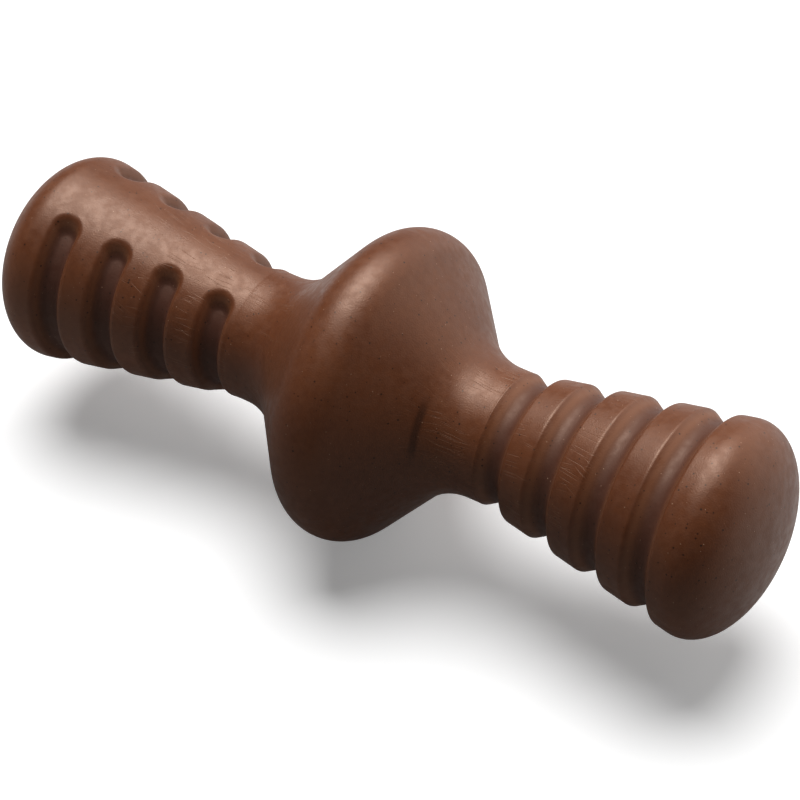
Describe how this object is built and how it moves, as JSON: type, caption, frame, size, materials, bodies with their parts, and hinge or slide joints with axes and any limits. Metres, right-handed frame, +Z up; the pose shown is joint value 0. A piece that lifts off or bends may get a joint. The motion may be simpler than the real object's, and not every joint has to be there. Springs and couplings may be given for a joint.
{
  "type": "dog chew toy",
  "caption": "Solid nylon stick chew for a dog: a round bulb in the middle, one flared handle ringed by grooves and one with rows of short slots beside a plain band.",
  "frame": {"origin": "on the surface it stands on, straight below the middle of the bulb", "axes": "+X along the stick towards the ribbed handle, +Z up through the plain band of the slotted handle"},
  "size_m": [0.18, 0.0672, 0.0672],
  "materials": {
    "nylon": "satin brown moulded nylon with fine specks and scratches"
  },
  "bodies": {
    "root": {"slotted_handle": "nylon", "centre_bulb": "nylon", "ribbed_handle": "nylon"}
  },
  "joints": []
}
